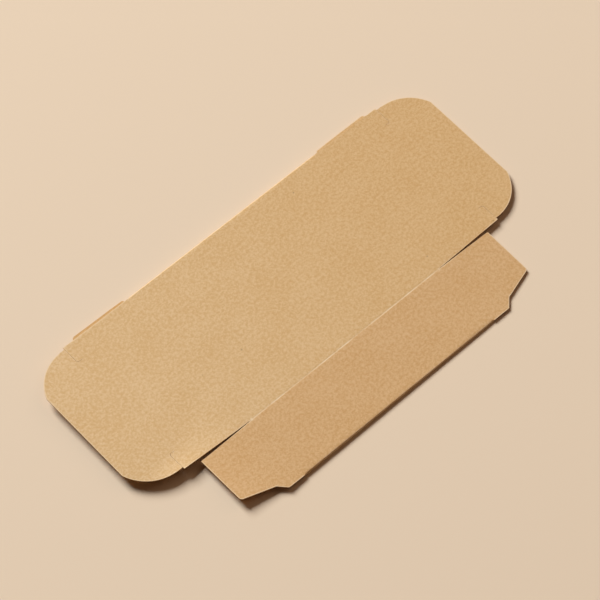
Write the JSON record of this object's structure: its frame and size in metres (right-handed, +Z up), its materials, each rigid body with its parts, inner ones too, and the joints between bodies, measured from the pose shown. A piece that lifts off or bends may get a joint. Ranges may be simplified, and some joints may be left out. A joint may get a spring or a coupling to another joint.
{
  "type": "flattened cardboard box",
  "caption": "Glued tuck-end carton of plain brown board lying flat, with closure panels, tuck flaps and dust flaps hinged at their creases.",
  "frame": {"origin": "centre of the whole outline, on the surface that the carton lies on", "axes": "+X along the box from one closure panel to the other, +Y from the side panel towards the broad panel's outer fold, +Z up"},
  "size_m": [0.2036, 0.1042, 0.0047],
  "materials": {
    "board": "matte"
  },
  "bodies": {
    "sleeve": {"sleeve": "board"},
    "closure_left": {"closure_left": "board"},
    "closure_right": {"closure_right": "board"},
    "tuck_flap_left": {"tuck_flap_left": "board"},
    "tuck_flap_right": {"tuck_flap_right": "board"},
    "dust_flap_left": {"dust_flap_left": "board"},
    "dust_flap_right": {"dust_flap_right": "board"}
  },
  "joints": [
    {"name": "closure_left_crease", "type": "hinge", "parent": "sleeve", "child": "closure_left", "pos_m": [-0.05, 0, 0.00235], "axis": [0, 1, 0], "range_deg": [0, 160]},
    {"name": "closure_right_crease", "type": "hinge", "parent": "sleeve", "child": "closure_right", "pos_m": [0.05, 0, 0.00235], "axis": [0, -1, 0], "range_deg": [0, 160]},
    {"name": "tuck_left_crease", "type": "hinge", "parent": "closure_left", "child": "tuck_flap_left", "pos_m": [-0.0825, 0, 0.00325], "axis": [0, 1, 0], "range_deg": [0, 170]},
    {"name": "tuck_right_crease", "type": "hinge", "parent": "closure_right", "child": "tuck_flap_right", "pos_m": [0.0825, 0, 0.00223], "axis": [0, -1, 0], "range_deg": [0, 170]},
    {"name": "dust_left_crease", "type": "hinge", "parent": "sleeve", "child": "dust_flap_left", "pos_m": [-0.05, -0.05135, 0.00145], "axis": [0, 0.9996, 0.0299], "range_deg": [0, 170]},
    {"name": "dust_right_crease", "type": "hinge", "parent": "sleeve", "child": "dust_flap_right", "pos_m": [0.05, -0.05135, 0.00145], "axis": [0, -0.9996, -0.0299], "range_deg": [0, 170]}
  ]
}
